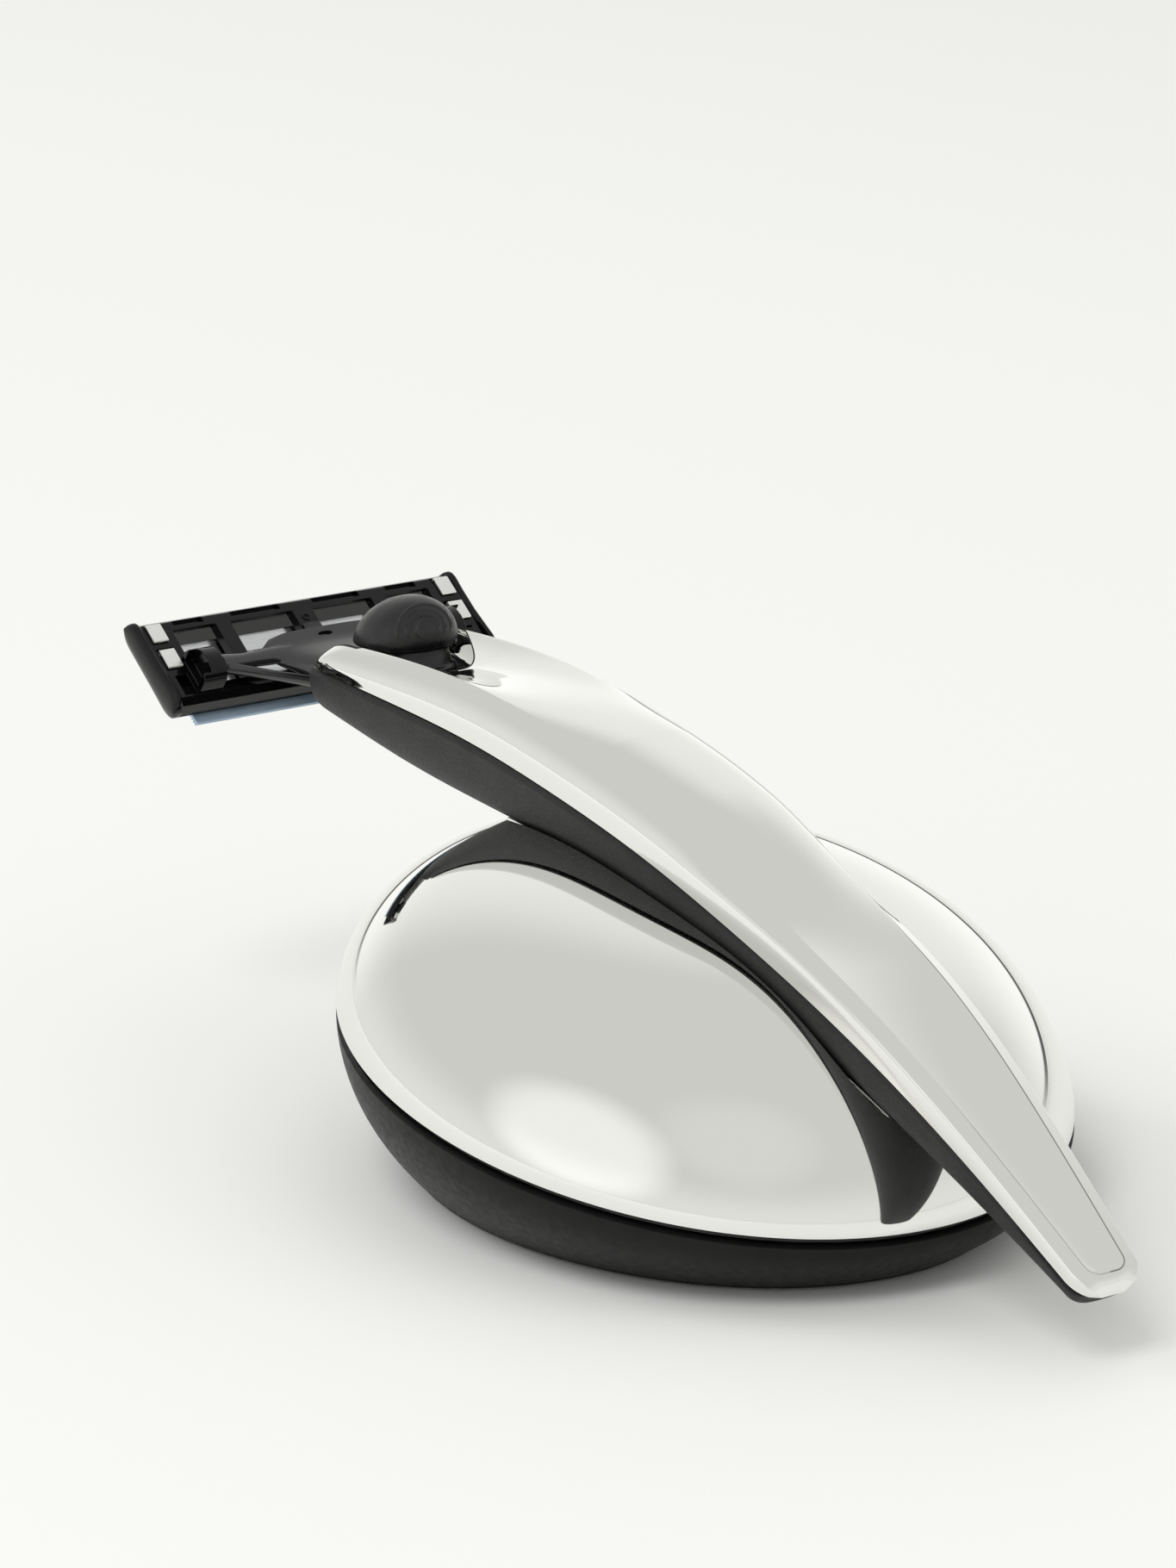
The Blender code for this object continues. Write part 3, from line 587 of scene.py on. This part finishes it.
def add_handle():
    def recess(wider):
        """Tool for the button's notch, with a curved back wall."""
        half = RECESS_HALF + wider
        steps = [half * (i / 12 - 1) for i in range(25)]
        curve = [(x, RECESS_BACK_Y - wider + RECESS_CURVE * x * x) for x in steps]
        return bar(curve + [(half, 70.0), (-half, 70.0)], (36.0, 60.0), lambda a, b, c: (a, b, c))

    # The facet layers steer the painted shade line in the shell's material.
    blank = skin(shell_point, 120, 330, facet=shade_line_distance, facet_fade=facet_fade)
    liner = carve(carve(blank.copy(), [recess(RECESS_LINER)], "INTERSECT"), [recess(0.0)])
    shell = carve(blank, [recess(RECESS_LINER)])
    piece("razor_shell", shell, plated_shell(), "razor", ["handle_shell"], 30)
    piece("recess_liner", liner, soft_touch_abs(), "razor")
    grip = carve(skin(grip_point, 72, 200), [block(*POCKET), block(*STEM_SLOT)])
    piece("razor_grip", grip, moulded_tpe(), "razor", ["handle_grip"])


def button_point(turn, run):
    """Thumb button: foot, waist, a crisp rim, then a half dome with raised arcs on the thumb's side."""
    a, b = squared(cos(2 * pi * turn), 0.85), 0.95 * squared(sin(2 * pi * turn), 0.85)
    if run < BUTTON_FOOT_END:
        shares, *columns = zip(*BUTTON_FOOT)
        h, r, y = (np.interp(run / BUTTON_FOOT_END, shares, column) for column in columns)
        return (r * a, y + r * b, BUTTON_FOOT_Z + h)
    lift = (run - BUTTON_FOOT_END) / (1 - BUTTON_FOOT_END) * pi / 2
    r, h = BUTTON_R * max(cos(lift), 0.003), (BUTTON_TOP - BUTTON_RIM) * sin(lift)
    point = Vector((r * a, r * b, h))
    away = Vector((point.x, point.y, point.z - 0.6)).angle(Vector((-0.1, -0.9, 0.35)))
    ridge = sum(2.7 ** -((away - radians(arc)) / radians(1.5)) ** 2 for arc in THUMB_ARCS)
    point += point.normalized() * 0.2 * ridge * ease((h - 1.2) / 0.9)
    return (point.x, BUTTON_Y - 0.265 * h + point.y, BUTTON_FOOT_Z + BUTTON_RIM + point.z)


# ---- head ---------------------------------------------------------------------------------------------

def cart(x, v, w):
    """Cartridge coordinates: x along the blades, v guard to cap, w out of its back."""
    return (x, CART_ORIGIN[0] + v * cos(CART_TILT) - w * sin(CART_TILT),
            CART_ORIGIN[1] + v * sin(CART_TILT) + w * cos(CART_TILT))


def across(v, w, x):
    """The same for an outline in v and w that is pushed along the blades."""
    return cart(x, v, w)


def limb(stations):
    """A tube in cartridge coordinates: x, v, w, half height along v, half thickness along w."""
    return tube([lambda a, b, s=s: cart(s[0], s[1] + s[3] * a, s[2] + s[4] * b) for s in stations], 24)


def housing_body():
    """Open frame: a thin back web with four windows, a front cavity for the blades, slots for the clips."""
    plate = ((0.5, -CART_W), (CART_V - 0.4, -CART_W), (CART_V, -CART_W + 0.8), (CART_V, -0.6),
             (CART_V - 0.6, 0.0), (0.7, 0.0), (0.0, -0.7), (0.0, -CART_W + 0.5))
    body = bar(plate, (-CART_HALF, CART_HALF), across)
    tools = [block((-18.3, 18.3), (1.6, 9.7), (-CART_W - 1, -WEB), cart)]
    edges = [-16.3] + [s for x, h in zip(RIB_X, RIB_HALF) for s in (x - h, x + h)] + [16.3]
    for left, right in zip(edges[::2], edges[1::2]):
        tools.append(block((left, right), (1.9, 9.55), (-3, 1), cart))
        tools.append(block((left + 0.5, right - 1.2), (10.05, 10.85), (-0.55, 1), cart))
    for side in (-1, 1):
        slot = sorted((side * 17.2, side * 19.4))
        tools += [block(slot, (6.5, 7.4), (-CART_W - 1, 1), cart),
                  block(slot, (10.0, 10.83), (-CART_W - 1, 1), cart),
                  block(slot, (6.6, 10.75), (-CART_W - 1, -CART_W + 0.45), cart),
                  block(sorted((side * 17.5, side * 18.9)), (0.9, 3.6), (-1.1, 1), cart)]
    return carve(body, tools)


def add_cartridge():
    gloss = polished_abs("polished_abs_housing", "#050506", 0.14, 0.01, 0.3)
    soften(piece("cartridge_frame", housing_body(), gloss, "cartridge", ["cartridge_housing"]), 0.12)
    ear = ((0.9, -0.8), (5.6, -0.8), (5.6, 1.2), (5.2, 2.0), (4.4, 2.6), (3.1, 2.8), (1.9, 2.6),
           (1.1, 2.0), (0.9, 1.5))
    for side, name in ((-1, "left"), (1, "right")):
        shape = tube([lambda a, b, s=s: cart(side * (RAIL_X + RAIL_R * a), s[0], s[2] + s[1] * b)
                      for s in RAIL], 40)
        piece(f"end_rail_{name}", shape, gloss, "cartridge")
        bearing = bar(ear, sorted((side * 14.3, side * 17.2)), across)
        bore = tube([lambda a, b, x=x: cart(x, PIVOT_V + 0.85 * a, PIVOT_W + 0.85 * b)
                     for x in sorted((side * 13.0, side * 16.0))], 24)
        scallop = block(sorted((side * 16.2, side * 18)), (1.6, 5.0), (0.4, 3.5), cart)
        soften(piece(f"pivot_bearing_{name}", carve(bearing, [bore, scallop]), gloss, "cartridge"), 0.15)
    dimple = tube([lambda a, b, s=s: cart(0.5 * s[0] * a, 8.4 + 0.5 * s[0] * b, s[1])
                   for s in ((1.0, -0.1), (1.0, 0.1), (0.72, 0.13), (0.66, 0.02), (0.6, 0.0))], 24)
    piece("gate_mark", dimple, gloss, "cartridge")
    add_blades()


def add_blades():
    """Three ground leaves, each on a bent carrier whose flat shows through the windows."""
    steel = ground_steel("ground_stainless_blade", "#D9DADC", 0.16)
    for index, v in enumerate(BLADE_V, 1):
        reach = 1.9 if v == BLADE_V[-1] else 1.38
        strip = ((v - 0.46, -1.5), (v + reach - 0.1, -1.5), (v + reach, -1.58), (v + reach, -1.66),
                 (v - 0.3, -1.66), (v - 0.3, -1.76), (v - 0.86, -2.72), (v - 0.98, -2.66), (v - 0.5, -1.7))
        piece(f"carried_blade_{index}", bar(strip, (-BLADE_HALF, BLADE_HALF), across), steel,
              "cartridge", [f"blade_{index}"])
    add_guard()
    add_clips()


def add_guard():
    """Soft strip below the blades, its outer face cut into fine fins."""
    fins = [(1.35 - 0.2 * i, -3.85 if i % 2 else -3.45) for i in range(11)]
    outline = [(-0.8, -3.35), (-0.72, -3.1), (1.4, -3.32)] + fins
    blue = moulded_rubber("pale_blue_tpe_fins", "#A9BFD3", "#A2B9CF", "#B0C5D8", 0.5)
    piece("guard_fins", bar(outline, (-STRIP_HALF, STRIP_HALF), across), blue, "cartridge",
          ["guard_strip"])


def add_clips():
    """Rolled metal bands that fold round each end of the frame and hold the blades down."""
    metal = ground_steel("rolled_aluminium_clip", "#F2F2F0", 0.4, 0.3)
    front, back, skin_t = -CART_W + 0.05, 0.38, 0.3
    path = ((6.8, front), (10.3, front), (10.52, front + 0.08), (10.6, front + 0.3), (10.6, back - 0.3),
            (10.52, back - 0.08), (10.3, back), (8.2, back), (8.1, back - 0.12), (8.1, back - skin_t),
            (10.3, back - skin_t), (10.3, front + skin_t), (7.1, front + skin_t), (7.1, back - 0.3),
            (7.03, back - 0.08), (6.85, back), (4.6, back), (4.5, back - 0.12), (4.5, back - skin_t),
            (6.8, back - skin_t))
    for side, name in ((-1, "left"), (1, "right")):
        shape = bar(path, sorted((side * 17.45, side * 19.3)), across)
        soften(piece(f"folded_clip_{name}", shape, metal, "cartridge", [f"clip_{name}"]), 0.07, 2)


def add_yoke():
    """Neck that fans out under the cartridge, with an arm, a strut and a pivot pin on each side."""
    dark = polished_abs("polished_acetal_yoke", "#242425", 0.16, 0.03, 0.8)
    body = tube([lambda a, b, s=s: (s[2] * squared(a, 0.75), s[0], s[1] + s[3] * squared(b, 0.75))
                 for s in NECK], 48)
    arm = ((5.0, 3.1, 1.3, 1.1, 0.6), (8.0, 3.1, 1.3, 1.1, 0.65), (10.0, 3.05, 1.32, 0.95, 0.65),
           (11.5, 3.0, 1.35, 1.0, 0.7), (12.9, 3.05, 1.35, 1.15, 0.8), (13.9, 3.1, 1.35, 1.2, 0.9))
    strut = ((2.6, -1.3, 0.9, 0.7, 0.9), (5.0, -0.7, 1.05, 0.45, 0.8), (8.0, 0.35, 1.2, 0.42, 0.7),
             (11.0, 1.5, 1.3, 0.5, 0.7), (13.6, 2.5, 1.35, 0.6, 0.75))
    pin = ((12.6, PIVOT_V, PIVOT_W, PIVOT_R, PIVOT_R), (15.6, PIVOT_V, PIVOT_W, PIVOT_R, PIVOT_R))
    tools = [limb([(side * x, *section) for x, *section in stations])
             for side in (-1, 1) for stations in (arm, strut, pin)]
    body = carve(body, tools, "UNION")
    slot = bar([(0.9 * squared(cos(t / 10 * pi)) - 0.3, 4.5 + 0.3 * sin(t / 10 * pi)) for t in range(20)],
               (-1, 4), lambda a, b, c: cart(a, b, c))
    body = carve(body, [block((-1.5, 1.5), (1.2, 6.5), (-1.0, 0.95), cart), slot])
    piece("yoke", body, dark, "connector", ["connector_yoke"])
    add_tongue()


def add_tongue():
    """The springy leaf under the yoke, bent so that its tip leans on the cartridge; it rides on no body."""
    path = [(1.8 + 0.35 * i, 0.46 - 0.3 * ease((i - 7) / 9)) for i in range(17)]
    leaf = tube([lambda a, b, s=s: cart(1.1 * squared(a, 0.5), s[0], s[1] + 0.12 * squared(b, 0.5))
                 for s in path], 32)
    coat = polished_abs("polished_acetal_tongue", "#1E1E1F", 0.25)
    made = piece("bent_tongue", leaf, coat, None, ["return_tongue"])
    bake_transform(made)


def add_button():
    piece("thumb_button", skin(button_point, 220, 160), satin_abs(), "button", ["release_button"], 50)


def coat_cad_nodes():
    """Finishes for the pieces whose own solids already have the right shape."""
    screw = ground_steel("zinc_plated_steel", "#B9BBBD", 0.28, 1.0)
    coats = {
        "rim_gasket": moulded_rubber("nitrile_seam_ring", "#1A1A1A", "#181818", "#1E1E1E", 0.4),
        "foot_pad": moulded_rubber("microcellular_foot_rubber", "#242424", "#202020", "#2A2A2A", 0.3),
        "lubricating_strip": moulded_rubber("lubricating_polymer", "#CFD6C8", "#C9D1C2", "#D6DCCF", 0.4),
        "ballast_weight": cast_zinc(), "handle_core": bpy.data.materials["die_cast_zinc"],
        "holding_magnet": screw, "button_spring": screw,
    }
    coats.update({f"base_screw_{i}": screw for i in (1, 2, 3)})
    coats.update({f"handle_screw_{i}": screw for i in (1, 2)})
    for name, coat in coats.items():
        nodes[name].data.materials.clear()
        nodes[name].data.materials.append(coat)


# ---- camera, floor and light -----------------------------------------------------------------

def add_camera():
    turn, rise = CAMERA_TURN, CAMERA_RISE
    back = Vector((sin(turn) * cos(rise), -cos(turn) * cos(rise), sin(rise)))
    right = Vector((cos(turn), sin(turn), 0))
    up = back.cross(right)
    data = bpy.data.cameras.new("camera")
    data.lens, data.sensor_width = CAMERA_LENS, 36.0
    camera = bpy.data.objects.new("camera", data)
    bpy.context.scene.collection.objects.link(camera)
    place = Matrix((right, up, back)).transposed().to_4x4()
    place.translation = (back * CAMERA_BACK + right * CAMERA_RIGHT + up * CAMERA_UP) * MM
    camera.matrix_world = place
    data.clip_start, data.clip_end = 0.01, 20
    bpy.context.scene.camera = camera


def add_floor():
    paper, _, _ = finish("seamless_paper", "#F0F0EE", 0.85)
    bm = bmesh.new()
    bmesh.ops.create_grid(bm, x_segments=1, y_segments=1, size=6.0)
    mesh = bpy.data.meshes.new("floor")
    bm.to_mesh(mesh)
    bm.free()
    mesh.materials.append(paper)
    floor = bpy.data.objects.new("floor", mesh)
    bpy.context.scene.collection.objects.link(floor)


def softbox(name, place, size, power):
    data = bpy.data.lights.new(name, "AREA")
    data.shape, data.size, data.energy = "DISK", size, power
    lamp = bpy.data.objects.new(name, data)
    bpy.context.scene.collection.objects.link(lamp)
    lamp.location = place
    lamp.rotation_euler = (-Vector(place)).to_track_quat("-Z", "Y").to_euler()
    lamp.visible_glossy = False


def add_world():
    """A pale tent: grey overhead, white low down behind, one soft panel in front, a dark gap at the floor."""
    world = bpy.data.worlds.new("studio_tent")
    bpy.context.scene.world = world
    world.use_nodes = True
    tree = world.node_tree
    towards = add(tree, "ShaderNodeTexCoord").outputs["Generated"]

    def patch(direction, edge, core, outside, inside):
        near = add(tree, "ShaderNodeVectorMath", {0: towards, 1: tuple(Vector(direction).normalized())},
                   operation="DOT_PRODUCT")
        return add(tree, "ShaderNodeMapRange", {
            "Value": near.outputs["Value"], "From Min": edge, "From Max": core, "To Min": outside,
            "To Max": inside}, interpolation_type="SMOOTHSTEP").outputs["Result"]

    level = patch(*TENT_OVERHEAD)
    for lit in TENT_PATCHES:
        level = add(tree, "ShaderNodeMath", {0: level, 1: patch(*lit)}, operation="ADD").outputs[0]
    dark = 1.0
    for limit in TENT_GAP:
        dark = add(tree, "ShaderNodeMath", {0: dark, 1: patch(*limit)}, operation="MULTIPLY").outputs[0]
    kept = add(tree, "ShaderNodeMath", {0: 1.0, 1: dark}, operation="SUBTRACT").outputs[0]
    level = add(tree, "ShaderNodeMath", {0: level, 1: kept}, operation="MULTIPLY").outputs[0]
    back = tree.nodes["Background"]
    back.inputs["Color"].default_value = (1.0, 1.0, 0.98, 1)
    tree.links.new(level, back.inputs["Strength"])


bpy.context.scene.view_settings.view_transform = "Standard"
add_camera()
add_floor()
add_world()
softbox("key", (-1.2, -0.5, 1.8), 0.95, 13.2)
softbox("far_fill", (-1.6, 2.0, 1.5), 1.2, 20.0)

add_stand()
add_handle()
add_button()
add_yoke()
add_cartridge()
coat_cad_nodes()
